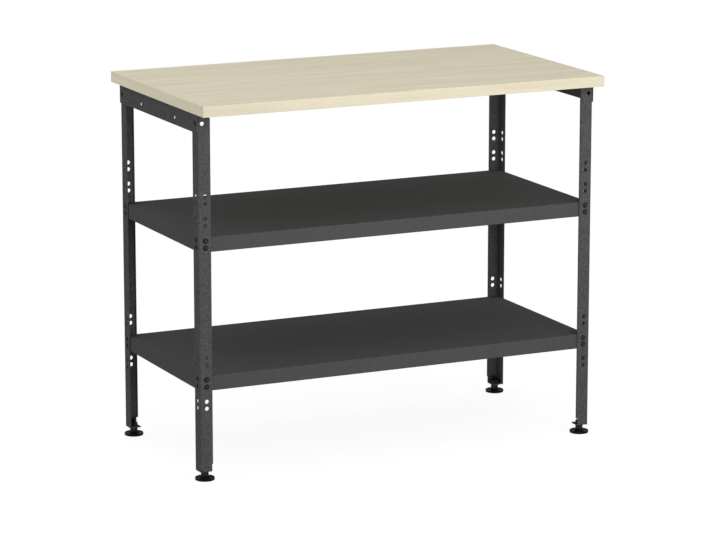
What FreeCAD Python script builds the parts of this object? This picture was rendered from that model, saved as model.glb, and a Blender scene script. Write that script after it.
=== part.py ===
import FreeCAD, Part
import os
import re
import Sketcher

# A bolted steel workbench: laminated top, folded angle legs, two tray shelves and screw feet.
# The origin is on the floor under the middle of the bench. The front faces -Y and +X is to the right.
# Only the front-left quarter is drawn: the legs, rails, feet and fasteners elsewhere are its mirror images.

driving_sizes = {
    # Worktop
    "top_length": 1000,
    "top_depth": 550,
    "top_thickness": 25,
    "bench_height": 858,
    "edge_band": 2,
    "edge_band_round": 1.2,
    # Legs: a folded angle with a lip on the edge of its front flange and a tab for the foot
    "leg_side_inset": 6,
    "leg_front_inset": 45,
    "leg_sheet": 2,
    "leg_bend_inner": 1,
    "leg_front_width": 30,
    "leg_side_width": 32,
    "leg_lip_depth": 5,
    "lip_cut_top": 7,
    "lip_cut_bottom": 18,
    "leg_top_gap": 0.2,
    "tab_depth": 31,
    "tab_relief": 2,
    "tab_relief_height": 6,
    "tab_corner": 2,
    # Hole pairs in the legs, counted by the upper hole of each pair above the floor
    "hole_diameter": 9.5,
    "front_hole_inset": 15.5,
    "side_hole_inset": 18,
    "pair_spacing": 16,
    "pair_pitch": 50,
    "pairs_in_group": 3,
    "upper_pairs_height": 549,
    "lower_pairs_height": 183,
    "leg_top_hole_inset": 10,
    "leg_top_hole_drop": 21,
    # Shelves: trays folded from thin sheet, bolted on by one hole pair of each flange of each leg
    "shelf_sheet": 1,
    "shelf_bend_inner": 1,
    "shelf_flange": 34,
    "shelf_hem": 12,
    "shelf_hem_notch": 4,
    "shelf_side_gap": 1,
    "shelf_cover": 7,
    "upper_shelf_step": 0,
    "lower_shelf_step": 1,
    # Rails: folded angles outside the legs, under the ends of the top
    "rail_sheet": 2,
    "rail_bend_inner": 1,
    "rail_height": 42,
    "rail_flange": 32,
    "rail_bolt_inset": 13.5,
    "rail_hole_diameter": 9,
    "rail_hole_spacing": 200,
    "rail_hole_drop": 26,
    # Bolts and nuts
    "bolt_diameter": 6,
    "bolt_length": 12,
    "bolt_head": 12,
    "bolt_head_height": 3.3,
    "bolt_head_flat": 6,
    "bolt_play": 1,
    "nut_flats": 10,
    "nut_height": 5,
    "thread_play": 0.1,
    # Worktop screws
    "screw_diameter": 4,
    "screw_length": 18,
    "screw_head": 9,
    "screw_head_height": 3,
    "screw_inset": 18,
    "screw_spacing": 150,
    # Feet: a pad that swivels on a screw stud with a hexagon collar
    "foot_height": 20,
    "foot_inset": 15,
    "pad_diameter": 44.5,
    "pad_rim_height": 6,
    "pad_rim_width": 3,
    "pad_dish_height": 4.5,
    "pad_boss": 23,
    "pad_boss_height": 8,
    "pad_floor": 2.5,
    "pad_round": 1.2,
    "stud_diameter": 10,
    "stud_top": 40,
    "collar_flats": 17,
    "stud_chamfer": 1,
    "weld_nut_flats": 17,
    "weld_nut_height": 8,
    "foot_play": 0.2,
    "foot_stop_gap": 0.1,
}

os.makedirs("parts", exist_ok=True)
doc = FreeCAD.newDocument("workbench")
sheet = doc.addObject("Spreadsheet::Sheet", "Sizes")
for row, (alias, value) in enumerate(driving_sizes.items(), start=1):
    sheet.set(f"A{row}", alias)
    sheet.set(f"B{row}", str(value))
    sheet.setAlias(f"B{row}", alias)
doc.recompute()

pieces = []

# Places that several pieces share, as formulas of the driving sizes
leg_x = "(top_length / 2 - leg_side_inset)"
leg_y = "(top_depth / 2 - leg_front_inset)"
top_under = "(bench_height - top_thickness)"
rail_x = f"({leg_x} + rail_sheet)"
rail_under = f"({top_under} - rail_sheet)"
leg_top = f"({rail_under} - rail_bend_inner - leg_top_gap)"
leg_length = f"({leg_top} - foot_height)"
leg_flat_width = "(leg_front_width - leg_sheet - leg_bend_inner)"
tab_start = "(leg_sheet + leg_bend_inner + tab_relief)"
rail_bolt_height = f"({top_under} - leg_top_hole_drop)"
shelf_x = f"({leg_x} - leg_sheet - shelf_side_gap)"
shelf_y = f"({leg_y} - leg_lip_depth)"
bolt_hole = "(bolt_diameter + bolt_play)"
upper_bolt_height = "(upper_pairs_height + upper_shelf_step * pair_pitch)"
lower_bolt_height = "(lower_pairs_height + lower_shelf_step * pair_pitch)"
foot_x = f"({leg_x} - foot_inset)"
foot_y = f"({leg_y} - foot_inset)"
collar_bottom = "(pad_boss_height + foot_play)"
collar_top = "(foot_height - foot_stop_gap)"
stud_bottom = "(pad_floor + foot_play)"


def cell(formula):
    # Every plain name in a formula is a cell of the sheet.
    return re.sub(r"[a-z]\w+", lambda word: f"Sizes.{word[0]}", formula)


def number(formula):
    return float(sheet.evalExpression(cell(formula)))


def bind(item, **formulas):
    # Ties properties of a document object to the sheet. Two underscores stand for a dot.
    for name, formula in formulas.items():
        item.setExpression(name.replace("__", "."), cell(formula))


def place(item, x="0", y="0", z="0"):
    bind(item, Placement__Base__x=x, Placement__Base__y=y, Placement__Base__z=z)


def keep(item, name):
    # Makes an object one of the finished pieces.
    item.Label = name
    pieces.append(item)
    return item


def new_body(name):
    body = doc.addObject("PartDesign::Body", name)
    body.Label = name
    return body


def new_sketch(body, role, height="0"):
    plane = next(item for item in body.Origin.OriginFeatures if item.Role == role)
    sketch = body.newObject("Sketcher::SketchObject", f"{body.Name}_sketch")
    sketch.AttachmentSupport = [(plane, "")]
    sketch.MapMode = "FlatFace"
    bind(sketch, AttachmentOffset__Base__z=height)
    return sketch


def fix_point(sketch, line, end, x, y):
    for kind, formula in (("DistanceX", x), ("DistanceY", y)):
        rule = sketch.addConstraint(Sketcher.Constraint(kind, -1, 1, line, end, number(formula)))
        sketch.setExpression(f"Constraints[{rule}]", cell(formula))


def draw_outline(sketch, corners):
    # Closed outline of straight lines, each corner held by its two formulas.
    points = [FreeCAD.Vector(number(x), number(y), 0) for x, y in corners]
    lines = [
        sketch.addGeometry(Part.LineSegment(start, end))
        for start, end in zip(points, points[1:] + points[:1])
    ]
    for line, following in zip(lines, lines[1:] + lines[:1]):
        sketch.addConstraint(Sketcher.Constraint("Coincident", line, 2, following, 1))
    for line, (x, y) in zip(lines, corners):
        fix_point(sketch, line, 1, x, y)


def draw_rectangle(sketch, left, right, low, high):
    draw_outline(sketch, [(left, low), (right, low), (right, high), (left, high)])


def draw_circle(sketch, x, y, diameter):
    middle = FreeCAD.Vector(number(x), number(y), 0)
    ring = sketch.addGeometry(Part.Circle(middle, upward, number(diameter) / 2))
    rule = sketch.addConstraint(Sketcher.Constraint("Diameter", ring, number(diameter)))
    sketch.setExpression(f"Constraints[{rule}]", cell(diameter))
    fix_point(sketch, ring, 3, x, y)


def draw_hexagon(sketch, flats):
    corner = f"({flats} / 3 ^ 0.5)"
    right = [(f"{corner} / 2", f"-{flats} / 2"), (corner, "0"), (f"{corner} / 2", f"{flats} / 2")]
    left = [(f"-{corner} / 2", f"{flats} / 2"), (f"-{corner}", "0"), (f"-{corner} / 2", f"-{flats} / 2")]
    draw_outline(sketch, right + left)


def pad(body, sketch, length):
    feature = body.newObject("PartDesign::Pad", f"{body.Name}_pad")
    feature.Profile = sketch
    bind(feature, Length=length)
    doc.recompute()
    return feature


def cut_through(body, sketch):
    feature = body.newObject("PartDesign::Pocket", f"{body.Name}_cut")
    feature.Profile = sketch
    feature.Type = "ThroughAll"
    feature.SideType = "Symmetric"
    doc.recompute()
    return feature


def cut_upward(body, sketch, depth):
    feature = body.newObject("PartDesign::Pocket", f"{body.Name}_cut")
    feature.Profile = sketch
    feature.Reversed = True
    bind(feature, Length=depth)
    doc.recompute()
    return feature


def revolve(body, corners):
    # Full turn about the body's own Z axis of an outline given as radius and height.
    sketch = new_sketch(body, "XZ_Plane")
    draw_outline(sketch, corners)
    feature = body.newObject("PartDesign::Revolution", f"{body.Name}_turned")
    feature.Profile = sketch
    feature.ReferenceAxis = (sketch, ["V_Axis"])
    feature.Angle = 360
    doc.recompute()
    return feature


def edges_along(feature, lines):
    # Names the straight edges that lie on the given lines. A line leaves one coordinate open with None.
    names = []
    for index, edge in enumerate(feature.Shape.Edges, start=1):
        for line in lines:
            wanted = [(axis, number(formula)) for axis, formula in enumerate(line) if formula is not None]
            ends = [vertex.Point for vertex in edge.Vertexes]
            if all(abs(end[axis] - value) < 0.001 for end in ends for axis, value in wanted):
                names.append(f"Edge{index}")
    return names


def round_lines(body, lines, radius):
    base = body.Tip
    feature = body.newObject("PartDesign::Fillet", f"{body.Name}_round")
    feature.Base = (base, edges_along(base, lines))
    bind(feature, Radius=radius)
    doc.recompute()
    return feature


def box_edges(half_x, half_y, low, high):
    # The lines of all twelve edges of a box that is centred in X and Y.
    upright = [(f"{x} * {half_x}", f"{y} * {half_y}", None) for x in (-1, 1) for y in (-1, 1)]
    lengthwise = [(None, f"{y} * {half_y}", z) for y in (-1, 1) for z in (low, high)]
    crosswise = [(f"{x} * {half_x}", None, z) for x in (-1, 1) for z in (low, high)]
    return upright + lengthwise + crosswise


def fold(body, outside, inside, inner_radius, thickness):
    # Rounds both sides of a fold in sheet metal about the same centre.
    round_lines(body, outside, f"{inner_radius} + {thickness}")
    round_lines(body, inside, inner_radius)


def mirrored(source, name, normal):
    item = doc.addObject("Part::Mirroring", name)
    item.Label = name
    item.Source = source
    item.Normal = normal
    return item


across = FreeCAD.Vector(1, 0, 0)
along = FreeCAD.Vector(0, 1, 0)
upward = FreeCAD.Vector(0, 0, 1)


def four_corners(front_left, stem):
    # The front-left piece and its three mirror images, each a finished piece.
    front_right = mirrored(front_left, f"{stem}_front_right", across)
    rear_left = mirrored(front_left, f"{stem}_rear_left", along)
    rear_right = mirrored(front_right, f"{stem}_rear_right", along)
    keep(front_left, f"{stem}_front_left")
    for item in (front_right, rear_left, rear_right):
        keep(item, item.Name)


def grouped(items, name):
    item = doc.addObject("Part::Compound", name)
    item.Links = items
    return item


def group_at_corners(items, name):
    # One node that holds the front-left items and their mirror images at the other corners.
    front_left = grouped(items, f"{name}_front_left")
    front_right = mirrored(front_left, f"{name}_front_right", across)
    front = grouped([front_left, front_right], f"{name}_front")
    rear = mirrored(front, f"{name}_rear", along)
    keep(grouped([front, rear], name), name)


# Directions of a bolt's shank, from its head inwards, with a nut's flats facing up
towards_back = FreeCAD.Rotation(across, -upward, along, "ZXY")
towards_right = FreeCAD.Rotation(along, upward, across, "ZXY")


def copy_of(template, name, turn, x, y, z):
    item = doc.addObject("App::Link", f"{name}_copy")
    item.LinkedObject = template
    item.Placement = FreeCAD.Placement(FreeCAD.Vector(), turn)
    place(item, x, y, z)
    return item


def make_worktop_board():
    body = new_body("worktop_board")
    half_length = "(top_length / 2 - edge_band)"
    half_depth = "(top_depth / 2 - edge_band)"
    sketch = new_sketch(body, "XY_Plane")
    draw_rectangle(sketch, f"-{half_length}", half_length, f"-{half_depth}", half_depth)
    pad(body, sketch, "top_thickness")
    # Pilot holes for the screws that come up through the rails
    sketch = new_sketch(body, "XY_Plane")
    for side in (-1, 1):
        for step in (-1, 0, 1):
            draw_circle(
                sketch,
                f"{side} * ({rail_x} - screw_inset)",
                f"{step} * screw_spacing",
                "screw_diameter + thread_play",
            )
    cut_upward(body, sketch, "screw_length - rail_sheet + thread_play")
    place(body, z=top_under)
    keep(body, "worktop_board")


def make_edge_band(name, length, free_ends=False):
    # A strip along X, its outer face towards -Y and its outer edges eased, also round any free ends.
    body = new_body(name)
    sketch = new_sketch(body, "XY_Plane")
    draw_rectangle(sketch, f"-({length}) / 2", f"({length}) / 2", "0", "edge_band")
    pad(body, sketch, "top_thickness")
    eased = [(None, "0", "0"), (None, "0", "top_thickness")]
    if free_ends:
        for end in (f"-({length}) / 2", f"({length}) / 2"):
            eased += [(end, "0", None), (end, None, "0"), (end, None, "top_thickness")]
    round_lines(body, eased, "edge_band_round")
    return body


def make_edge_bands():
    front = make_edge_band("edge_band_front", "top_length", free_ends=True)
    place(front, y="-top_depth / 2", z=top_under)
    keep(front, "edge_band_front")
    keep(mirrored(front, "edge_band_rear", along), "edge_band_rear")
    left = make_edge_band("edge_band_left", "top_depth - 2 * edge_band")
    left.Placement.Rotation = FreeCAD.Rotation(upward, -90)
    place(left, x="-top_length / 2", z=top_under)
    keep(left, "edge_band_left")
    keep(mirrored(left, "edge_band_right", across), "edge_band_right")


def pair_heights():
    # Heights above the floor of all the holes in one flange of a leg
    return [
        f"({group} + {step} * pair_pitch - {hole} * pair_spacing)"
        for group in ("upper_pairs_height", "lower_pairs_height")
        for step in range(int(number("pairs_in_group")))
        for hole in (0, 1)
    ]


def make_legs():
    # Local frame: X from the outer side face, Y from the outer front face, Z from the leg's bottom.
    body = new_body("leg_front_left")
    section = new_sketch(body, "XY_Plane")
    lip_inside = "(leg_front_width - leg_sheet)"
    draw_outline(
        section,
        [
            ("0", "0"),
            ("leg_front_width", "0"),
            ("leg_front_width", "leg_lip_depth"),
            (lip_inside, "leg_lip_depth"),
            (lip_inside, "leg_sheet"),
            ("leg_sheet", "leg_sheet"),
            ("leg_sheet", "leg_side_width"),
            ("0", "leg_side_width"),
        ],
    )
    pad(body, section, leg_length)
    fold(
        body,
        [("0", "0", None), ("leg_front_width", "0", None)],
        [("leg_sheet", "leg_sheet", None), (lip_inside, "leg_sheet", None)],
        "leg_bend_inner",
        "leg_sheet",
    )
    # The lip stops short of both ends of the leg.
    ends = new_sketch(body, "XZ_Plane")
    beyond = "(leg_front_width + leg_sheet)"
    draw_rectangle(ends, leg_flat_width, beyond, "0", "lip_cut_bottom")
    draw_rectangle(ends, leg_flat_width, beyond, f"{leg_length} - lip_cut_top", leg_length)
    cut_through(body, ends)
    # The foot tab is folded in from the bottom of the front flange.
    tab = new_sketch(body, "XY_Plane")
    draw_rectangle(tab, tab_start, leg_flat_width, "0", "tab_depth")
    pad(body, tab, "leg_sheet")
    # A slit frees the tab from the corner of the leg.
    relief = new_sketch(body, "XZ_Plane")
    relief_start = "(leg_sheet + leg_bend_inner)"
    draw_rectangle(relief, relief_start, tab_start, "0", "tab_relief_height")
    cut_through(body, relief)
    fold(body, [(None, "0", "0")], [(None, "leg_sheet", "leg_sheet")], "leg_bend_inner", "leg_sheet")
    round_lines(
        body,
        [(tab_start, "tab_depth", None), (leg_flat_width, "tab_depth", None)],
        "tab_corner",
    )
    stud_hole = new_sketch(body, "XY_Plane")
    draw_circle(stud_hole, "foot_inset", "foot_inset", "stud_diameter + 2 * foot_play")
    cut_upward(body, stud_hole, "leg_sheet")
    # Hole pairs: those in the front flange are drawn in X and Z, those in the side flange in Y and Z.
    for plane, inset, top_inset in (
        ("XZ_Plane", "front_hole_inset", "leg_top_hole_inset"),
        ("YZ_Plane", "side_hole_inset", "rail_bolt_inset"),
    ):
        holes = new_sketch(body, plane)
        for height in pair_heights():
            draw_circle(holes, inset, f"{height} - foot_height", "hole_diameter")
        draw_circle(holes, top_inset, f"{rail_bolt_height} - foot_height", "hole_diameter")
        cut_through(body, holes)
    place(body, f"-{leg_x}", f"-{leg_y}", "foot_height")
    four_corners(body, "leg")


def make_rails():
    # Local frame: X from the outer face inwards, Y along the rail from its middle, Z from the top's underside.
    body = new_body("rail_left")
    section = new_sketch(body, "XZ_Plane")
    draw_outline(
        section,
        [
            ("0", "0"),
            ("0", "-rail_height"),
            ("rail_sheet", "-rail_height"),
            ("rail_sheet", "-rail_sheet"),
            ("rail_flange", "-rail_sheet"),
            ("rail_flange", "0"),
        ],
    )
    pad(body, section, f"2 * {leg_y}").SideType = "Symmetric"
    doc.recompute()
    fold(
        body,
        [("0", None, "0")],
        [("rail_sheet", None, "-rail_sheet")],
        "rail_bend_inner",
        "rail_sheet",
    )
    holes = new_sketch(body, "YZ_Plane")
    for side in (-1, 1):
        draw_circle(holes, f"{side} * ({leg_y} - rail_bolt_inset)", "-leg_top_hole_drop", bolt_hole)
        draw_circle(holes, f"{side} * rail_hole_spacing / 2", "-rail_hole_drop", "rail_hole_diameter")
    cut_through(body, holes)
    screw_holes = new_sketch(body, "XY_Plane")
    for step in (-1, 0, 1):
        draw_circle(screw_holes, "screw_inset", f"{step} * screw_spacing", "screw_diameter + bolt_play")
    cut_through(body, screw_holes)
    place(body, x=f"-{rail_x}", z=top_under)
    keep(body, "rail_left")
    keep(mirrored(body, "rail_right", across), "rail_right")


def make_shelf(name, bolt_height):
    # Local frame: the middle of the tray in X and Y, Z from the bottom of its flanges.
    body = new_body(name)
    inner_x = f"({shelf_x} - shelf_sheet)"
    inner_y = f"({shelf_y} - shelf_sheet)"
    hem_x = f"({shelf_x} - shelf_hem)"
    hem_y = f"({shelf_y} - shelf_hem)"
    under_sheet = "(shelf_flange - shelf_sheet)"
    outside = new_sketch(body, "XY_Plane")
    draw_rectangle(outside, f"-{shelf_x}", shelf_x, f"-{shelf_y}", shelf_y)
    pad(body, outside, "shelf_flange")
    round_lines(body, box_edges(shelf_x, shelf_y, "0", "shelf_flange"), "shelf_bend_inner + shelf_sheet")
    # The opening below leaves a hem folded in at the bottom of the flanges.
    opening = new_sketch(body, "XY_Plane")
    draw_rectangle(opening, f"-{hem_x}", hem_x, f"-{hem_y}", hem_y)
    cut_upward(body, opening, under_sheet)
    hollow = new_sketch(body, "XY_Plane", "shelf_sheet")
    draw_rectangle(hollow, f"-{inner_x}", inner_x, f"-{inner_y}", inner_y)
    cut_upward(body, hollow, f"{under_sheet} - shelf_sheet")
    round_lines(body, box_edges(inner_x, inner_y, "shelf_sheet", under_sheet), "shelf_bend_inner")
    # Square reliefs part the four hems at the corners.
    reliefs = new_sketch(body, "XY_Plane")
    for side in (-1, 1):
        for end in (-1, 1):
            draw_rectangle(
                reliefs,
                f"{side} * ({hem_x} - shelf_hem_notch)",
                f"{side} * ({shelf_x} + shelf_hem_notch)",
                f"{end} * ({hem_y} - shelf_hem_notch)",
                f"{end} * ({shelf_y} + shelf_hem_notch)",
            )
    cut_upward(body, reliefs, "shelf_bend_inner + shelf_sheet")
    # Bolt holes go through opposite flanges together.
    for plane, leg_face, inset in (
        ("XZ_Plane", leg_x, "front_hole_inset"),
        ("YZ_Plane", leg_y, "side_hole_inset"),
    ):
        holes = new_sketch(body, plane)
        for side in (-1, 1):
            for hole in (0, 1):
                height = f"shelf_flange - shelf_cover - {hole} * pair_spacing"
                draw_circle(holes, f"{side} * ({leg_face} - {inset})", height, bolt_hole)
        cut_through(body, holes)
    place(body, z=f"{bolt_height} + shelf_cover - shelf_flange")
    keep(body, name)


def make_turned(name, corners):
    body = new_body(name)
    revolve(body, corners)
    return body


def make_nut(name, flats, thread, height):
    body = new_body(name)
    sketch = new_sketch(body, "XY_Plane")
    draw_hexagon(sketch, flats)
    draw_circle(sketch, "0", "0", f"{thread} + 2 * thread_play")
    pad(body, sketch, height)
    return body


def make_fasteners():
    # Bolts and screws point up from the underside of their heads, which is at Z 0.
    bolt = make_turned(
        "bolt_pattern_piece",
        [
            ("0", "-bolt_head_height"),
            ("bolt_head_flat / 2", "-bolt_head_height"),
            ("bolt_head / 2", "0"),
            ("bolt_diameter / 2", "0"),
            ("bolt_diameter / 2", "bolt_length"),
            ("0", "bolt_length"),
        ],
    )
    screw = make_turned(
        "screw_pattern_piece",
        [
            ("0", "-screw_head_height"),
            ("(screw_head - screw_head_height) / 2", "-screw_head_height"),
            ("screw_head / 2", "0"),
            ("screw_diameter / 2", "0"),
            ("screw_diameter / 2", "screw_length - screw_diameter"),
            ("0", "screw_length"),
        ],
    )
    nut = make_nut("nut_pattern_piece", "nut_flats", "bolt_diameter", "nut_height")
    weld_nut = make_nut("weld_nut_pattern_piece", "weld_nut_flats", "stud_diameter", "weld_nut_height")

    for shelf, bolt_height in (("upper", upper_bolt_height), ("lower", lower_bolt_height)):
        heights = [f"({bolt_height} - {hole} * pair_spacing)" for hole in (0, 1)]
        across_place = f"-({leg_x} - front_hole_inset)"
        along_place = f"-({leg_y} - side_hole_inset)"
        for template, name, face_x, face_y in (
            (bolt, f"shelf_bolts_{shelf}", leg_x, leg_y),
            (nut, f"shelf_nuts_{shelf}", f"({shelf_x} - shelf_sheet)", f"({shelf_y} - shelf_sheet)"),
        ):
            items = []
            for height in heights:
                items.append(copy_of(template, name, towards_back, across_place, f"-{face_y}", height))
                items.append(copy_of(template, name, towards_right, f"-{face_x}", along_place, height))
            group_at_corners(items, name)

    for template, name, face_x in (
        (bolt, "rail_bolts", rail_x),
        (nut, "rail_nuts", f"({leg_x} - leg_sheet)"),
    ):
        depth_place = f"-({leg_y} - rail_bolt_inset)"
        item = copy_of(template, name, towards_right, f"-{face_x}", depth_place, rail_bolt_height)
        group_at_corners([item], name)

    straight_up = FreeCAD.Rotation()
    stud_place = (f"-{foot_x}", f"-{foot_y}", "foot_height + leg_sheet")
    group_at_corners([copy_of(weld_nut, "foot_weld_nuts", straight_up, *stud_place)], "foot_weld_nuts")

    screws = [
        copy_of(
            screw,
            "worktop_screws",
            straight_up,
            f"-({rail_x} - screw_inset)",
            f"{step} * screw_spacing",
            rail_under,
        )
        for step in (-1, 0, 1)
    ]
    left = grouped(screws, "worktop_screws_left")
    right = mirrored(left, "worktop_screws_right", across)
    keep(grouped([left, right], "worktop_screws"), "worktop_screws")


def make_feet():
    rim = "(pad_diameter / 2)"
    rim_inside = f"({rim} - pad_rim_width)"
    socket = "(stud_diameter / 2 + foot_play)"
    pad_body = make_turned(
        "foot_pad_front_left",
        [
            ("0", "0"),
            (rim, "0"),
            (rim, "pad_rim_height"),
            (rim_inside, "pad_rim_height"),
            (f"{rim_inside} - pad_rim_height + pad_dish_height", "pad_dish_height"),
            ("pad_boss / 2", "pad_dish_height"),
            ("pad_boss / 2", "pad_boss_height"),
            (socket, "pad_boss_height"),
            (socket, "pad_floor"),
            ("0", "pad_floor"),
        ],
    )
    round_lines(pad_body, [(rim, None, "0"), (rim, None, "pad_rim_height")], "pad_round")
    place(pad_body, f"-{foot_x}", f"-{foot_y}")
    four_corners(pad_body, "foot_pad")

    stud_radius = "(stud_diameter / 2)"
    stud_body = make_turned(
        "foot_stud_front_left",
        [
            ("0", stud_bottom),
            (stud_radius, stud_bottom),
            (stud_radius, "stud_top - stud_chamfer"),
            (f"{stud_radius} - stud_chamfer", "stud_top"),
            ("0", "stud_top"),
        ],
    )
    collar = new_sketch(stud_body, "XY_Plane", collar_bottom)
    draw_hexagon(collar, "collar_flats")
    pad(stud_body, collar, f"{collar_top} - {collar_bottom}")
    place(stud_body, f"-{foot_x}", f"-{foot_y}")
    four_corners(stud_body, "foot_stud")


make_worktop_board()
make_edge_bands()
make_rails()
make_legs()
make_shelf("shelf_upper", upper_bolt_height)
make_shelf("shelf_lower", lower_bolt_height)
make_fasteners()
make_feet()

doc.recompute()
for item in doc.Objects:
    if "Invalid" in item.State or "Error" in item.State:
        raise RuntimeError(f"{item.Label} failed: {item.State}")
for item in pieces:
    if item.Shape.isNull() or not item.Shape.isValid():
        raise RuntimeError(f"{item.Label} has no valid shape")
for item in pieces:
    item.Shape.exportStep(f"parts/{item.Label}.step")
    print(item.Label, len(item.Shape.Solids), round(item.Shape.Volume, 1))
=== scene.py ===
import math

import bmesh
import bpy
import numpy as np
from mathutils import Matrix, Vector


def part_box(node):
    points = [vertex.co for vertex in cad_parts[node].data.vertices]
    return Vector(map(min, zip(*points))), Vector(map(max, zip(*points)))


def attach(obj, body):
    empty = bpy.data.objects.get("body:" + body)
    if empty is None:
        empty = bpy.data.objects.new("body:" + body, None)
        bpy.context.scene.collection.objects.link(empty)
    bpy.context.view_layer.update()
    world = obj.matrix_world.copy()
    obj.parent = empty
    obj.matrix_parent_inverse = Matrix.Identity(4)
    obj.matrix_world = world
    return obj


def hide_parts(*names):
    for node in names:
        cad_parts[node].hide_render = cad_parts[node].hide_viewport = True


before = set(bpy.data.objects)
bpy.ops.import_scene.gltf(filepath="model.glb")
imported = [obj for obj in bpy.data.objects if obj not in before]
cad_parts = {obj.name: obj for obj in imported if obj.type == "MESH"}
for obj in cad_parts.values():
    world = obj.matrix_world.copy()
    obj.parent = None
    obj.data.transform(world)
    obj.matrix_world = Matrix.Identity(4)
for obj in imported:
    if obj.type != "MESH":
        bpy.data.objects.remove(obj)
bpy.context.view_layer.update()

# A bolted steel workbench, in metres: +Z up, the front towards -Y, the floor at Z 0.
scene = bpy.context.scene
corners = {"front_left": (-1, -1), "front_right": (1, -1), "rear_left": (-1, 1), "rear_right": (1, 1)}
fullTurn = 2 * math.pi
print("frame loaded:", len(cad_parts), "nodes")


# Node trees

usualNoise = (0.3, 0.7)     # nearly all of a noise lies between these


def even(value):
    # A grey, or the same waves along all three axes
    return (value, value, value)


def newFinish(name, **constants):
    # constants are the shader's own sockets, with spaces left out of their names
    material = bpy.data.materials.new(name)
    material.use_nodes = True
    shader = material.node_tree.nodes["Principled BSDF"]
    for socket in shader.inputs:
        plainName = socket.name.replace(" ", "")
        if plainName in constants:
            socket.default_value = constants[plainName]
    return material, material.node_tree, shader


def addNode(tree, kind, values=None, **options):
    node = tree.nodes.new("ShaderNode" + kind)
    for option, value in options.items():
        setattr(node, option, value)
    for socket, value in (values or {}).items():
        node.inputs[socket].default_value = value
    return node


def noiseOn(tree, stretch, detail, roughness=0.55):
    # Noise on Object coordinates; stretch is waves per metre along X, Y and Z
    place = addNode(tree, "TexCoord")
    mapping = addNode(tree, "Mapping", {"Scale": stretch})
    noise = addNode(tree, "TexNoise", {"Scale": 1.0, "Detail": detail, "Roughness": roughness})
    tree.links.new(place.outputs["Object"], mapping.inputs["Vector"])
    tree.links.new(mapping.outputs["Vector"], noise.inputs["Vector"])
    return noise.outputs["Fac"]


def spread(tree, value, limits, newLow=0.0, newHigh=1.0):
    # Straight line from the two limits to newLow and newHigh, cut off at both ends
    low, high = limits
    node = addNode(
        tree,
        "MapRange",
        {"From Min": low, "From Max": high, "To Min": newLow, "To Max": newHigh},
    )
    tree.links.new(value, node.inputs["Value"])
    return node.outputs["Result"]


def mixColours(tree, share, first, second):
    # Inputs 6 and 7 and output 2 are the node's colour sockets
    node = addNode(tree, "Mix", data_type="RGBA")
    tree.links.new(share, node.inputs["Factor"])
    for socket, colour in ((node.inputs[6], first), (node.inputs[7], second)):
        if isinstance(colour, tuple):
            socket.default_value = colour + (1.0,)
        else:
            tree.links.new(colour, socket)
    return node.outputs[2]


def setColour(tree, shader, colour):
    tree.links.new(colour, shader.inputs["Base Color"])


def setRoughness(tree, shader, noise, limits):
    tree.links.new(spread(tree, noise, usualNoise, *limits), shader.inputs["Roughness"])


def addBump(tree, shader, height, distance, strength):
    bump = addNode(tree, "Bump", {"Distance": distance, "Strength": strength})
    tree.links.new(height, bump.inputs["Height"])
    tree.links.new(bump.outputs["Normal"], shader.inputs["Normal"])


# Finishes: waves are per metre, reliefs in metres

laminate = {
    "pale": (0.748, 0.690, 0.525),
    "deep": (0.657, 0.593, 0.434),
    "pore": (0.560, 0.485, 0.340),
    "longEdgeTone": 0.90,               # the long edging is painted darker than the face, as painted shade
    "streakWaves": (3.0, 44.0, 44.0),   # along the grain first
    "streakLimits": (0.34, 0.68),
    "poreWaves": (6.0, 460.0, 460.0),
    "poreLimits": (0.52, 0.72),
    "poreShare": 0.24,
    "poreRelief": 0.00004,
    "poreStrength": 0.25,
    "roughness": (0.48, 0.58),
    "specular": 0.22,
}


def laminateFinish(name, lengthwise, tone=1.0):
    # Two noises stretched along the grain: broad streaks of tone, and fine pore lines over them
    material, tree, shader = newFinish(name, SpecularIORLevel=laminate["specular"])
    order = (0, 1, 2) if lengthwise else (1, 0, 2)
    broad, fine = (tuple(laminate[key][i] for i in order) for key in ("streakWaves", "poreWaves"))
    pale, deep, pore = (tuple(tone * part for part in laminate[key]) for key in ("pale", "deep", "pore"))
    streaks = spread(tree, noiseOn(tree, broad, detail=6.0, roughness=0.62), laminate["streakLimits"])
    lines = noiseOn(tree, fine, detail=2.0)
    pores = spread(tree, lines, laminate["poreLimits"], 0.0, laminate["poreShare"])
    wood = mixColours(tree, streaks, pale, deep)
    setColour(tree, shader, mixColours(tree, pores, wood, pore))
    setRoughness(tree, shader, lines, laminate["roughness"])
    addBump(tree, shader, lines, laminate["poreRelief"], laminate["poreStrength"])
    return material


coating = {
    "light": even(0.101),
    "dark": even(0.045),
    # painted glints on the relief's peaks
    "peak": even(0.150),
    "mottleWaves": even(380.0),
    "mottleReach": 0.2,                 # of the noise, to each side of its middle
    "grainWaves": even(1500.0),
    "grainRelief": 0.00025,
    "peakLimits": (0.54, 0.70),
    "peakShare": 0.28,
    "roughness": (0.66, 0.82),
    "specular": 0.004,
}


def coatingFinish(name, contrast, relief):
    # Textured powder coat: tone mottled over a few millimetres, and fine relief with painted glints on its
    # peaks
    material, tree, shader = newFinish(name, SpecularIORLevel=coating["specular"])
    mottle = noiseOn(tree, coating["mottleWaves"], detail=5.0, roughness=0.74)
    grain = noiseOn(tree, coating["grainWaves"], detail=3.0, roughness=0.65)
    reach = coating["mottleReach"] / contrast
    share = spread(tree, mottle, (0.5 - reach, 0.5 + reach))
    tone = mixColours(tree, share, coating["dark"], coating["light"])
    # painted glints, paler where the grain stands highest
    glints = spread(tree, grain, coating["peakLimits"], 0.0, coating["peakShare"] * contrast)
    setColour(tree, shader, mixColours(tree, glints, tone, coating["peak"]))
    setRoughness(tree, shader, grain, coating["roughness"])
    addBump(tree, shader, grain, coating["grainRelief"], relief)
    return material


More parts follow.
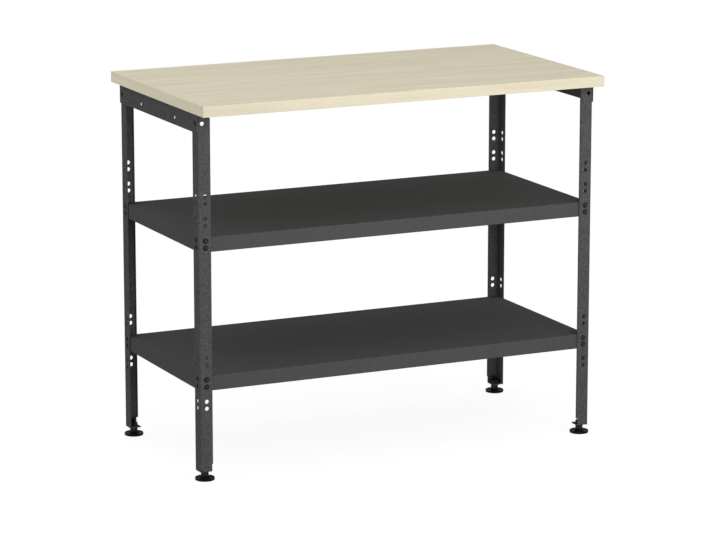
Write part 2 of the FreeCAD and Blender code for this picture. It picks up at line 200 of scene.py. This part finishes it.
metalSurface = {
    "cloudWaves": even(260.0),
    "cloudLimits": (0.35, 0.65),
    "grainWaves": even(2200.0),
    "grainRelief": 0.00005,
    "grainStrength": 0.15,
}
blackBolt = {
    "light": even(0.008),
    "dark": even(0.004),
    # a painted highlight for the middle of the domed heads
    "rubbed": even(0.046),
    "roughness": (0.30, 0.42),
    "metallic": 0.0,
    "specular": 0.14,
}
zincPlate = {
    "light": (0.66, 0.66, 0.63),
    "dark": (0.52, 0.52, 0.50),
    "roughness": (0.26, 0.40),
    "metallic": 1.0,
    "specular": 0.5,
}
blackZinc = {
    "light": (0.016, 0.016, 0.017),
    "dark": even(0.009),
    "roughness": (0.24, 0.36),
    "metallic": 0.4,
    "specular": 0.2,
}


def metalFinish(name, metal):
    # Plated or oxidised steel with a faint cloudiness, and paler where the mesh's attribute marks a painted
    # highlight
    material, tree, shader = newFinish(name, Metallic=metal["metallic"], SpecularIORLevel=metal["specular"])
    cloud = noiseOn(tree, metalSurface["cloudWaves"], detail=4.0)
    share = spread(tree, cloud, metalSurface["cloudLimits"])
    colour = mixColours(tree, share, metal["dark"], metal["light"])
    # painted highlight, paler where the mesh's attribute says
    if "rubbed" in metal:
        paintedHighlight = addNode(tree, "Attribute", attribute_name="paintedHighlight")
        colour = mixColours(tree, paintedHighlight.outputs["Fac"], colour, metal["rubbed"])
    setColour(tree, shader, colour)
    setRoughness(tree, shader, cloud, metal["roughness"])
    grain = noiseOn(tree, metalSurface["grainWaves"], detail=2.0)
    addBump(tree, shader, grain, metalSurface["grainRelief"], metalSurface["grainStrength"])
    return material


blackNylon = {
    "light": even(0.004),
    "dark": even(0.002),
    "grainWaves": even(1800.0),
    "grainRelief": 0.00008,
    "grainStrength": 0.3,
    "roughness": (0.36, 0.52),
    "specular": 0.08,
}


def nylonFinish(name, nylon):
    # Spark-eroded mould texture on black nylon
    material, tree, shader = newFinish(name, SpecularIORLevel=nylon["specular"])
    grain = noiseOn(tree, nylon["grainWaves"], detail=3.0)
    setColour(tree, shader, mixColours(tree, grain, nylon["dark"], nylon["light"]))
    setRoughness(tree, shader, grain, nylon["roughness"])
    addBump(tree, shader, grain, nylon["grainRelief"], nylon["grainStrength"])
    return material


finishes = {
    "board": laminateFinish("boardLaminate", True),
    # a darker copy of the laminate: painted shade on the long edges
    "longEdge": laminateFinish("longEdging", True, laminate["longEdgeTone"]),
    "endEdge": laminateFinish("endEdging", False),
    "frame": coatingFinish("frameCoating", contrast=2.0, relief=0.7),
    "shelf": coatingFinish("shelfCoating", contrast=0.5, relief=0.35),
    "blackBolt": metalFinish("blackBolt", blackBolt),
    "zinc": metalFinish("zincPlate", zincPlate),
    "blackZinc": metalFinish("blackZinc", blackZinc),
    "nylon": nylonFinish("blackNylon", blackNylon),
}
print("finishes:", len(finishes))


# Carried-over pieces: the frame's own meshes, welded and shaded smooth over their folds

sharpestFold = math.radians(32)
weldDistance = 2e-6


def smoothOverFolds(name, sharpest):
    # Shades smooth every edge whose two faces meet at less than the angle `sharpest`
    tree = bpy.data.node_groups.new(name, "GeometryNodeTree")
    tree.interface.new_socket("Geometry", in_out="INPUT", socket_type="NodeSocketGeometry")
    tree.interface.new_socket("Geometry", in_out="OUTPUT", socket_type="NodeSocketGeometry")
    start = tree.nodes.new("NodeGroupInput")
    end = tree.nodes.new("NodeGroupOutput")
    faces = tree.nodes.new("GeometryNodeSetShadeSmooth")
    edges = tree.nodes.new("GeometryNodeSetShadeSmooth")
    edges.domain = "EDGE"
    edges.inputs["Shade Smooth"].default_value = False
    angle = tree.nodes.new("GeometryNodeInputMeshEdgeAngle")
    compare = tree.nodes.new("FunctionNodeCompare")
    compare.inputs["B"].default_value = sharpest
    tree.links.new(angle.outputs["Unsigned Angle"], compare.inputs["A"])
    tree.links.new(compare.outputs["Result"], edges.inputs["Selection"])
    tree.links.new(start.outputs[0], faces.inputs["Geometry"])
    tree.links.new(faces.outputs[0], edges.inputs["Geometry"])
    tree.links.new(edges.outputs[0], end.inputs[0])
    return tree


foldShading = smoothOverFolds("foldShading", sharpestFold)


def shadeFolds(piece):
    shading = piece.modifiers.new("shading", "NODES")
    shading.node_group = foldShading


def dressNode(node, finish):
    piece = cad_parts[node]
    piece.data.materials.clear()
    piece.data.materials.append(finishes[finish])
    weld = piece.modifiers.new("weld", "WELD")
    weld.merge_threshold = weldDistance
    shadeFolds(piece)
    flats = piece.modifiers.new("flats", "WEIGHTED_NORMAL")   # flat faces stay flat up to their folds
    flats.keep_sharp = True


carried = {
    "worktop_board": "board",
    "edge_band_front": "longEdge",
    "edge_band_rear": "longEdge",
    "edge_band_left": "endEdge",
    "edge_band_right": "endEdge",
    "rail_left": "frame",
    "rail_right": "frame",
    "shelf_upper": "shelf",
    "shelf_lower": "shelf",
    **{f"leg_{corner}": "frame" for corner in corners},
}
for node, finish in carried.items():
    dressNode(node, finish)
print("carried-over nodes dressed:", len(carried))


# Turned surfaces

poleDistance = 1e-7     # points nearer than this are one point


def latheGrid(radii, heights, closed=False):
    # radii and heights are [step along the profile, step round the axis];
    # the point at angle a is (r cos a, r sin a, h), and a closed profile joins its last row to its first
    rows, columns = radii.shape
    angle = np.arange(columns) * fullTurn / columns
    points = np.stack([radii * np.cos(angle), radii * np.sin(angle), heights], axis=-1)
    row = np.arange(rows if closed else rows - 1)[:, None]
    column = np.arange(columns)[None, :]
    nextRow = (row + 1) % rows * columns
    nextColumn = (column + 1) % columns
    row = row * columns
    faces = np.stack([row + column, row + nextColumn, nextRow + nextColumn, nextRow + column], axis=-1)
    return points.reshape(-1, 3), faces.reshape(-1, 4)


def allRound(profile, columns):
    # The same (radius, height) profile at every angle
    profile = np.array(profile)
    return np.repeat(profile[:, :1], columns, axis=1), np.repeat(profile[:, 1:], columns, axis=1)


def hexRadius(flats, columns):
    # Distance from the axis to a hexagon: half the width over flats by the cosine from the nearest flat
    angle = np.arange(columns) * fullTurn / columns
    return flats / 2 / np.cos(angle % (fullTurn / 6) - fullTurn / 12)


def arc(middle, radius, start, end, steps):
    # Points on a circle in the profile plane, angles in degrees from the outward direction
    angle = np.radians(np.linspace(start, end, steps))
    return np.stack([middle[0] + radius * np.cos(angle), middle[1] + radius * np.sin(angle)], axis=-1)


def threadRows(low, high, radius, style):
    # Rounded helical thread: radius less depth times a wave of (height / pitch - turn), fading at both ends
    pitch, columns = style["pitch"], style["columns"]
    rows = int(round((high - low) / pitch * style["rowsPerPitch"])) + 1
    height = np.linspace(low, high, rows)[:, None] + np.zeros((1, columns))
    turn = np.arange(columns)[None, :] / columns
    wave = 0.5 - 0.5 * np.cos(fullTurn * (height / pitch - turn))
    fade = np.clip(np.minimum(height - low, high - height) / (pitch / 2), 0, 1)
    return radius - style["threadDepth"] * wave * fade, height


def stacked(*rowSets):
    return np.concatenate([r for r, h in rowSets]), np.concatenate([h for r, h in rowSets])


def standing(grid, seat, outward):
    # Turns a shape made along +Z so that +Z points outward, its X staying level, and moves it to its seat
    points, faces = grid
    outward = np.array(outward, float)
    side = np.array([1.0, 0.0, 0.0]) if abs(outward[0]) < 0.5 else np.array([0.0, 1.0, 0.0])
    up = np.cross(outward, side)
    return points @ np.stack([side, up, outward]) + np.array(seat), faces


def makePiece(name, grids, finish, body, slot, *nodes, paintedHighlight=None):
    # One mesh from several grids of four-sided faces; the painted highlight's share is one grid's, and the
    # same for each
    counts = [len(points) for points, faces in grids]
    offsets = np.concatenate([[0], np.cumsum(counts)[:-1]])
    points = np.concatenate([points for points, faces in grids])
    faces = np.concatenate([faces + offset for (points, faces), offset in zip(grids, offsets)])
    mesh = bpy.data.meshes.new(name)
    mesh.vertices.add(len(points))
    mesh.vertices.foreach_set("co", points.astype(np.float32).ravel())
    mesh.loops.add(faces.size)
    mesh.loops.foreach_set("vertex_index", faces.astype(np.int32).ravel())
    mesh.polygons.add(len(faces))
    mesh.polygons.foreach_set("loop_start", np.arange(0, faces.size, 4, dtype=np.int32))
    mesh.update(calc_edges=True)
    if paintedHighlight is not None:
        rubbed = mesh.attributes.new("paintedHighlight", "FLOAT", "POINT")
        rubbed.data.foreach_set("value", np.tile(paintedHighlight, len(grids)).astype(np.float32))
    shape = bmesh.new()
    shape.from_mesh(mesh)
    bmesh.ops.remove_doubles(shape, verts=shape.verts, dist=poleDistance)
    shape.to_mesh(mesh)
    shape.free()
    piece = bpy.data.objects.new(name, mesh)
    scene.collection.objects.link(piece)
    mesh.materials.append(finishes[finish])
    shadeFolds(piece)
    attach(piece, body)
    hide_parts(*nodes)


# Bolts and screws

shelfBolt = {
    "headRadius": 0.006,
    "headHeight": 0.0033,
    "headRows": 8,
    "rimHeight": 0.0007,
    "rimRound": 0.0003,
    "shankRadius": 0.003,
    "shankLength": 0.012,
    "pitch": 0.001,
    "threadDepth": 0.0005,
    "tipLength": 0.0006,
    "tipRadius": 0.0023,
    "crossLength": 0.0025,
    "crossWidth": 0.0010,
    "crossDepth": 0.0014,
    "crossWall": 0.25,      # width of the recess's wall, as a share of crossWidth
    "crossRamp": 2.5,       # the bars' floors slope up over 1 / this of their length
    "crossMargin": 1.1,     # the finer rows reach past the bars by this factor
    "crossRows": 16,
    # where the painted highlight on the head ends, and how far it fades
    "wornRadius": 0.0031,
    "wornFade": 0.0012,
    "rowsPerPitch": 6,
    "columns": 48,
}
topScrew = dict(
    shelfBolt,
    headRadius=0.0045,
    headHeight=0.003,
    shankRadius=0.002,
    shankLength=0.018,
    pitch=0.0018,
    threadDepth=0.0006,
    tipLength=0.004,
    tipRadius=0.0002,
    crossLength=0.0022,
)


def crossRecess(radii, angle, style):
    # Depth of a cross-shaped recess: full on two crossed bars, sloping up to the bars' ends
    length, halfWidth = style["crossLength"], style["crossWidth"] / 2
    away = radii * np.minimum(abs(np.sin(angle)), abs(np.cos(angle)))
    out = radii * np.maximum(abs(np.sin(angle)), abs(np.cos(angle)))
    wall = style["crossWidth"] * style["crossWall"]
    inside = np.clip((halfWidth + wall - away) / wall, 0, 1)
    slope = np.clip((length - out) / (length - halfWidth), 0, 1)
    return style["crossDepth"] * inside * np.minimum(1, style["crossRamp"] * slope)


def headedScrew(style):
    # Seat of the head at Z 0, head towards +Z, threaded shank towards -Z
    columns, end = style["columns"], -style["shankLength"]
    headRadius, rim, rimRound = style["headRadius"], style["rimHeight"], style["rimRound"]
    tip = allRound([(0, end), (style["tipRadius"], end)], columns)
    thread = threadRows(end + style["tipLength"], -style["pitch"] / 4, style["shankRadius"], style)
    seat = [(style["shankRadius"], 0), (headRadius - rimRound, 0)]
    edge = np.concatenate([seat, arc((headRadius - rimRound, rimRound), rimRound, -60, 0, 3)])
    # Spherical cap over the rim: its ball's radius from half the width and the rise
    rise = style["headHeight"] - rim
    ball = (headRadius ** 2 + rise ** 2) / (2 * rise)
    recessEdge = style["crossLength"] * style["crossMargin"]
    plain = np.linspace(headRadius, recessEdge, style["headRows"])
    recessed = np.linspace(recessEdge, 0, style["crossRows"])
    radii = np.concatenate([plain, recessed[1:]])[:, None] + np.zeros((1, columns))
    angle = np.arange(columns)[None, :] * fullTurn / columns
    heights = rim + np.sqrt(ball ** 2 - radii ** 2) - (ball - rise) - crossRecess(radii, angle, style)
    return latheGrid(*stacked(tip, thread, allRound(edge, columns), (radii, heights)))


def highlightShare(grid, style):
    # Painted highlight: 1 in the middle of the domed head, fading to 0 over a ring inside the rim
    points, faces = grid
    away = np.hypot(points[:, 0], points[:, 1])
    share = np.clip((style["wornRadius"] - away) / style["wornFade"], 0, 1)
    return share * (points[:, 2] > style["rimHeight"])


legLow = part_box("leg_front_left")[0]
frontInset = 0.0155     # from the leg's outer side face to the holes in its front flange
sideInset = 0.018       # from the leg's outer front face to the holes in its side flange


def boltSeats(node, headRadius):
    # Both bolts of each pair, on the front and side faces of all four legs: (seat, outward)
    low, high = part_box(node)
    for height in (low.z + headRadius, high.z - headRadius):
        for sideX, sideY in corners.values():
            yield (sideX * -(legLow.x + frontInset), sideY * -legLow.y, height), (0, sideY, 0)
            yield (sideX * -legLow.x, sideY * -(legLow.y + sideInset), height), (sideX, 0, 0)


bolt = headedScrew(shelfBolt)
boltHighlight = highlightShare(bolt, shelfBolt)
for shelf in ("upper", "lower"):
    node = f"shelf_bolts_{shelf}"
    places = boltSeats(node, shelfBolt["headRadius"])
    makePiece(
        f"domed_bolts_{shelf}", [standing(bolt, seat, out) for seat, out in places],
        "blackBolt", "frame", "black_fastener", node, paintedHighlight=boltHighlight,
    )

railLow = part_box("rail_left")[0]
railBoltLow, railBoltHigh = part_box("rail_bolts")
railBoltY = railBoltHigh.y - shelfBolt["headRadius"]
railBoltZ = (railBoltLow.z + railBoltHigh.z) / 2
makePiece(
    "domed_rail_bolts",
    [standing(bolt, (x * -railLow.x, y * railBoltY, railBoltZ), (x, 0, 0)) for x, y in corners.values()],
    "blackBolt", "frame", "black_fastener", "rail_bolts", paintedHighlight=boltHighlight,
)

screwLow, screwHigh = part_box("worktop_screws")
screwX = screwHigh.x - topScrew["headRadius"]
screwY = screwHigh.y - topScrew["headRadius"]
screwSeat = screwLow.z + topScrew["headHeight"]
screw = headedScrew(topScrew)
makePiece(
    "pan_head_screws",
    [standing(screw, (x * screwX, y * screwY, screwSeat), (0, 0, -1)) for x in (-1, 1) for y in (-1, 0, 1)],
    "zinc", "frame", "zinc_fastener", "worktop_screws",
)
print("bolts and screws done")


# Nuts

shelfNut = {"flats": 0.010, "height": 0.005, "bore": 0.0031, "sink": 0.0005, "columns": 48}
weldNut = {"flats": 0.017, "height": 0.008, "bore": 0.0051, "sink": 0.0008, "columns": 48}
hexCorners = {
    "slope": math.tan(math.radians(30)),
    "circle": 0.95,     # width of the round end face, as a share of the width over flats
}


def hexBand(flats, low, high, columns):
    # Side walls of a hexagon with its corners turned off:
    # each end falls by the slope times the reach past the circle
    reach = hexRadius(flats, columns)
    circle = np.full(columns, flats / 2 * hexCorners["circle"])
    fall = (reach - circle) * hexCorners["slope"]
    flat = np.zeros(columns)
    radii = np.stack([circle, reach, reach, circle])
    heights = np.stack([flat + low, low + fall, high - fall, flat + high])
    return radii, heights


def hexNut(style):
    # Standing on Z 0 with a countersunk bore, its profile closed through the bore
    columns, bore, sink, height = style["columns"], style["bore"], style["sink"], style["height"]
    below = allRound([(bore, sink), (bore + sink, 0)], columns)
    above = allRound([(bore + sink, height), (bore, height - sink)], columns)
    return latheGrid(*stacked(below, hexBand(style["flats"], 0, height, columns), above), closed=True)


shelfSheet = 0.001
nut = hexNut(shelfNut)
for shelf in ("upper", "lower"):
    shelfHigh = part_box(f"shelf_{shelf}")[1]
    insideX, insideY = shelfHigh.x - shelfSheet, shelfHigh.y - shelfSheet
    places = []
    for (x, y, z), (outX, outY, outZ) in boltSeats(f"shelf_bolts_{shelf}", shelfBolt["headRadius"]):
        seat = (outX * insideX if outX else x, outY * insideY if outY else y, z)
        places.append((seat, (-outX, -outY, -outZ)))
    makePiece(
        f"hex_nuts_{shelf}", [standing(nut, seat, out) for seat, out in places],
        "blackBolt", "frame", "black_fastener", f"shelf_nuts_{shelf}",
    )

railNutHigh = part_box("rail_nuts")[1]
makePiece(
    "hex_rail_nuts",
    [standing(nut, (x * railNutHigh.x, y * railBoltY, railBoltZ), (-x, 0, 0)) for x, y in corners.values()],
    "blackBolt", "frame", "black_fastener", "rail_nuts",
)

footMiddles = {corner: sum(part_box(f"foot_stud_{corner}"), Vector()) / 2 for corner in corners}
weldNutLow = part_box("foot_weld_nuts")[0]
tallNut = hexNut(weldNut)
# black weld nuts here are painted shade: they stand for the shade inside the foot of each leg
makePiece(
    "tapped_foot_nuts",
    [standing(tallNut, (middle.x, middle.y, weldNutLow.z), (0, 0, 1)) for middle in footMiddles.values()],
    "blackBolt", "frame", "black_fastener", "foot_weld_nuts",
)
print("nuts done")


# Levelling feet

footStud = {
    "radius": 0.005,
    "bottom": 0.0027,
    "collarLow": 0.0082,
    "collarHigh": 0.0199,
    "collarFlats": 0.017,
    "top": 0.040,
    "chamfer": 0.001,
    "pitch": 0.0015,
    "threadDepth": 0.0009,
    "rowsPerPitch": 10,
    "columns": 72,
}
footPad = {
    "rimRadius": 0.02225,
    "rimHeight": 0.006,
    "rimWidth": 0.003,
    "rimRound": 0.0012,
    "innerRound": 0.0006,
    "dishHeight": 0.0045,
    "dishEdge": 0.0005,     # rounding where the dish meets the rim
    "dishSweep": 0.002,     # rounding where it meets the boss
    "bossRadius": 0.0115,
    "bossHeight": 0.008,
    "bossRound": 0.0008,
    "socketRadius": 0.0052,
    "socketChamfer": 0.0004,
    "socketFloor": 0.0025,
    "columns": 96,
}


def studSurface(style):
    # From the chamfered end in the pad, over the hexagon collar, up the thread to the other end
    columns, radius, chamfer, top = style["columns"], style["radius"], style["chamfer"], style["top"]
    end = [(0, style["bottom"]), (radius - chamfer, style["bottom"]), (radius, style["bottom"] + chamfer)]
    neck = allRound(end + [(radius, style["collarLow"])], columns)
    collar = hexBand(style["collarFlats"], style["collarLow"], style["collarHigh"], columns)
    shoulder = allRound([(radius, style["collarHigh"])], columns)
    thread = threadRows(style["collarHigh"] + chamfer, top - chamfer, radius, style)
    tip = allRound([(radius - chamfer, top), (0, top)], columns)
    return latheGrid(*stacked(neck, collar, shoulder, thread, tip))


def padSurface(style):
    # Flat sole, round rim, shallow dish that sweeps up into the boss, and the socket for the stud
    rim, rimRound, rimHigh = style["rimRadius"], style["rimRound"], style["rimHeight"]
    inner, innerRound = rim - style["rimWidth"], style["innerRound"]
    dish, dishEdge, dishSweep = style["dishHeight"], style["dishEdge"], style["dishSweep"]
    boss, bossRound, bossHigh = style["bossRadius"], style["bossRound"], style["bossHeight"]
    socket, chamfer, bottom = style["socketRadius"], style["socketChamfer"], style["socketFloor"]
    profile = np.concatenate([
        [(0, 0)],
        arc((rim - rimRound, rimRound), rimRound, -90, 0, 7),
        arc((rim - rimRound, rimHigh - rimRound), rimRound, 0, 90, 7),
        arc((inner + innerRound, rimHigh - innerRound), innerRound, 90, 180, 5),
        arc((inner - dishEdge, dish + dishEdge), dishEdge, 0, -90, 5),
        arc((boss + dishSweep, dish + dishSweep), dishSweep, 270, 180, 7),
        arc((boss - bossRound, bossHigh - bossRound), bossRound, 0, 90, 5),
        [(socket + chamfer, bossHigh), (socket, bossHigh - chamfer)],
        [(socket, bottom), (0, bottom)],
    ])
    return latheGrid(*allRound(profile, style["columns"]))


studGrid = studSurface(footStud)
padGrid = padSurface(footPad)
for corner, middle in footMiddles.items():
    place = (middle.x, middle.y, 0)
    makePiece(
        f"threaded_stud_{corner}", [standing(studGrid, place, (0, 0, 1))],
        "blackZinc", f"stud_{corner}", "stud_steel", f"foot_stud_{corner}",
    )
    makePiece(
        f"moulded_pad_{corner}", [standing(padGrid, place, (0, 0, 1))],
        "nylon", f"pad_{corner}", "foot_plastic", f"foot_pad_{corner}",
    )
print("feet done")


# Floor, light and camera

studio = {
    "floorReach": 30.0,
    "floorFlat": 18.0,
    "floorRise": 4.0,
    "floorSteps": 80,
    "floorTone": even(0.18),
    "floorRoughness": 0.9,
    "floorSpecular": 0.1,
    "floorGlow": 0.87,
    "skyNadir": 0.40,
    "skyZenith": 0.75,
}
lights = {
    # name: place, aim, width, height, power
    "key": ((0.15, -1.65, 1.06), (0.0, 0.0, 0.75), 1.8, 1.2, 19.2),
    "fill": ((-1.1, 0.6, 2.6), (-0.4, 0.1, 0.8), 1.6, 1.4, 7.0),
    "side": ((-2.5, -0.2, 0.9), (-0.4, 0.0, 0.5), 1.2, 1.2, 5.0),
}
view = {
    "azimuth": 25.38,       # degrees to the left of the front
    "elevation": 12.27,
    "distance": 7.925,
    "aim": (0.0, -0.007, 0.3955),
    "lens": 170.75,
    "farthest": 200.0,
}


def makeFloor():
    # Flat round the bench, then rising as the square of the way from the flat's edge to the reach
    reach, flat, steps = studio["floorReach"], studio["floorFlat"], studio["floorSteps"]
    line = np.linspace(-reach, reach, steps + 1)
    x, y = np.meshgrid(line, line)
    climb = np.clip((np.hypot(x, y) - flat) / (reach - flat), 0, 1)
    points = np.stack([x, y, studio["floorRise"] * climb ** 2], axis=-1).reshape(-1, 3)
    first = np.arange(steps)[:, None] * (steps + 1) + np.arange(steps)[None, :]
    faces = np.stack([first, first + 1, first + steps + 2, first + steps + 1], axis=-1).reshape(-1, 4)
    mesh = bpy.data.meshes.new("studio_floor")
    mesh.from_pydata(points.tolist(), [], faces.tolist())
    floor = bpy.data.objects.new("studio_floor", mesh)
    scene.collection.objects.link(floor)
    material, tree, shader = newFinish(
        "paleFloor",
        BaseColor=studio["floorTone"] + (1.0,),
        Roughness=studio["floorRoughness"],
        SpecularIORLevel=studio["floorSpecular"],
        EmissionColor=(1.0, 1.0, 1.0, 1.0),
        EmissionStrength=studio["floorGlow"],
    )
    mesh.materials.append(material)
    floor.visible_diffuse = False   # a white sheet that throws no light back up on the bench


def turnTo(item, direction):
    item.rotation_euler = direction.to_track_quat("-Z", "Y").to_euler()


def makeLight(name, place, aim, width, height, power):
    lamp = bpy.data.lights.new(name, "AREA")
    lamp.shape = "RECTANGLE"
    lamp.size = width
    lamp.size_y = height
    lamp.energy = power
    item = bpy.data.objects.new(name, lamp)
    item.location = place
    turnTo(item, Vector(aim) - Vector(place))
    scene.collection.objects.link(item)


def makeCamera():
    across, up = math.radians(view["azimuth"]), math.radians(view["elevation"])
    back = Vector((-math.sin(across) * math.cos(up), -math.cos(across) * math.cos(up), math.sin(up)))
    camera = bpy.data.cameras.new("camera")
    camera.lens = view["lens"]
    camera.clip_end = view["farthest"]
    item = bpy.data.objects.new("camera", camera)
    item.location = Vector(view["aim"]) + back * view["distance"]
    turnTo(item, -back)
    scene.collection.objects.link(item)
    scene.camera = item


def makeSky():
    # A white dome that brightens steadily from straight below to straight above
    world = bpy.data.worlds.new("studio")
    world.use_nodes = True
    tree = world.node_tree
    background = tree.nodes["Background"]
    background.inputs["Color"].default_value = (1.0, 1.0, 1.0, 1.0)
    place = addNode(tree, "TexCoord")
    parts = addNode(tree, "SeparateXYZ")
    tree.links.new(place.outputs["Generated"], parts.inputs["Vector"])
    strength = spread(tree, parts.outputs["Z"], (-1.0, 1.0), studio["skyNadir"], studio["skyZenith"])
    tree.links.new(strength, background.inputs["Strength"])
    scene.world = world


scene.view_settings.view_transform = "Standard"
makeSky()
makeFloor()
for name, settings in lights.items():
    makeLight(name, *settings)
makeCamera()
print("studio done")
